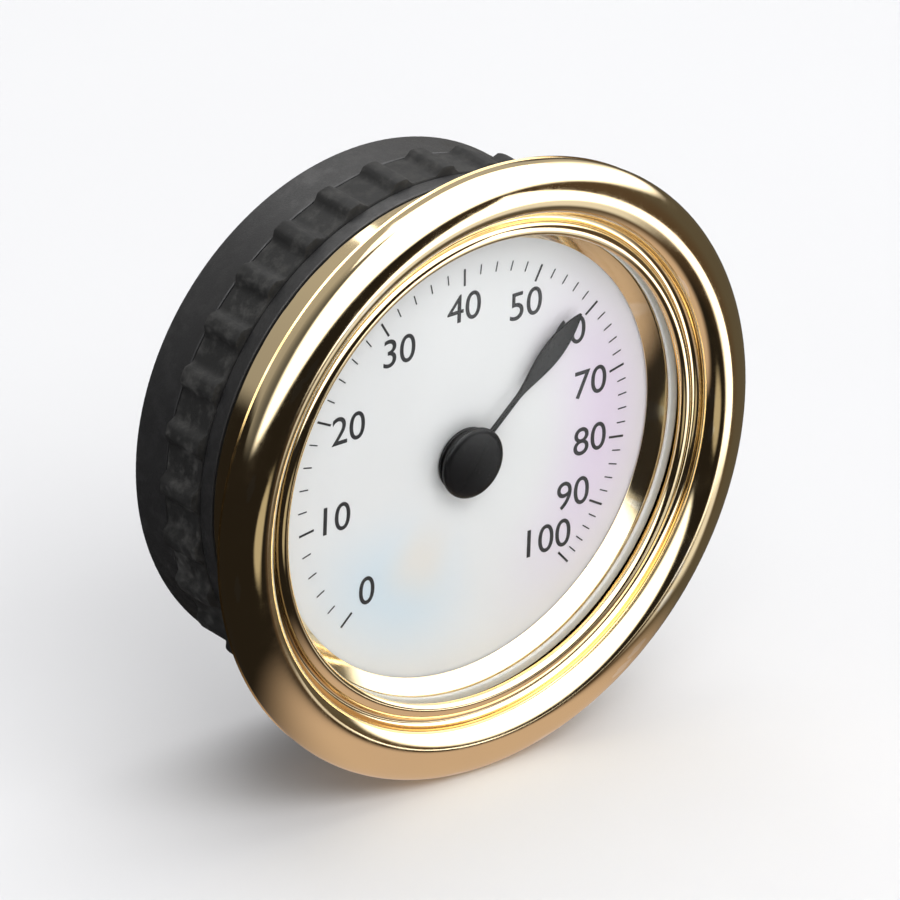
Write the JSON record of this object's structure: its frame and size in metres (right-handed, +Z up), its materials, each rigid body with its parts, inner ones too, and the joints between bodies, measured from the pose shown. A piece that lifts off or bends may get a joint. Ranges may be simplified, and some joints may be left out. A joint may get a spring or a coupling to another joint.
{
  "type": "dial hygrometer",
  "caption": "Round panel-mounted hygrometer with a gilt bezel, white dial and black pointer, turned by a humidity-sensitive coil.",
  "frame": {"origin": "on the dial's axis, in the plane where the bezel's flange rests on the panel", "axes": "+Z up towards twelve o'clock; the dial faces -Y; +Y runs along the body into the panel"},
  "size_m": [0.0376, 0.0138, 0.0376],
  "materials": {
    "gilt_bezel": "polished gold plating",
    "gilt_dial_ring": "polished gold plating",
    "clear_lens": "clear, polished",
    "clear_silicone": "translucent",
    "white_dial": "satin white enamel",
    "sintered_bronze": "matt",
    "black_case": "fine satin",
    "black_rubber": "matt",
    "bimetal_strip": "satin",
    "steel_screw": "bright",
    "brass_plate": "satin",
    "brass_pillar": "satin",
    "brass_bridge": "satin",
    "brass_bush": "satin",
    "brass_stud": "satin",
    "brass_collet": "satin",
    "steel_arm": "satin",
    "steel_clip": "satin",
    "steel_washer": "satin",
    "steel_arbor": "satin",
    "black_pointer": "gloss black",
    "black_hub": "gloss black",
    "black_cap": "gloss black"
  },
  "bodies": {
    "case": {"bezel": "gilt_bezel", "lens": "clear_lens", "lens_gasket": "clear_silicone", "dial_ring": "gilt_dial_ring", "dial": "white_dial", "movement_plate": "brass_plate", "front_bush": "sintered_bronze", "pillar_1": "brass_pillar", "pillar_2": "brass_pillar", "pillar_3": "brass_pillar", "rear_bridge": "brass_bridge", "bridge_screw_1": "steel_screw", "bridge_screw_2": "steel_screw", "bridge_screw_3": "steel_screw", "friction_washer": "steel_washer", "rear_case": "black_case", "grip_ring": "black_rubber"},
    "regulator": {"regulator_bush": "brass_bush", "regulator_arm": "steel_arm", "coil_stud": "brass_stud", "retaining_clip": "steel_clip", "humidity_coil": "bimetal_strip"},
    "pointer_assembly": {"arbor": "steel_arbor", "coil_collet": "brass_collet", "pointer": "black_pointer", "pointer_hub": "black_hub", "pointer_cap": "black_cap"}
  },
  "joints": [
    {"name": "calibration", "type": "hinge", "parent": "case", "child": "regulator", "pos_m": [0, 0.008, 0], "axis": [0, 1, 0], "range_deg": [-25, 25]},
    {"name": "humidity", "type": "hinge", "parent": "regulator", "child": "pointer_assembly", "pos_m": [0, 0.004, 0], "axis": [0, 1, 0], "range_deg": [-178, 90], "stiffness_Nm_per_rad": 0.00002, "deforming": ["humidity_coil"]}
  ]
}
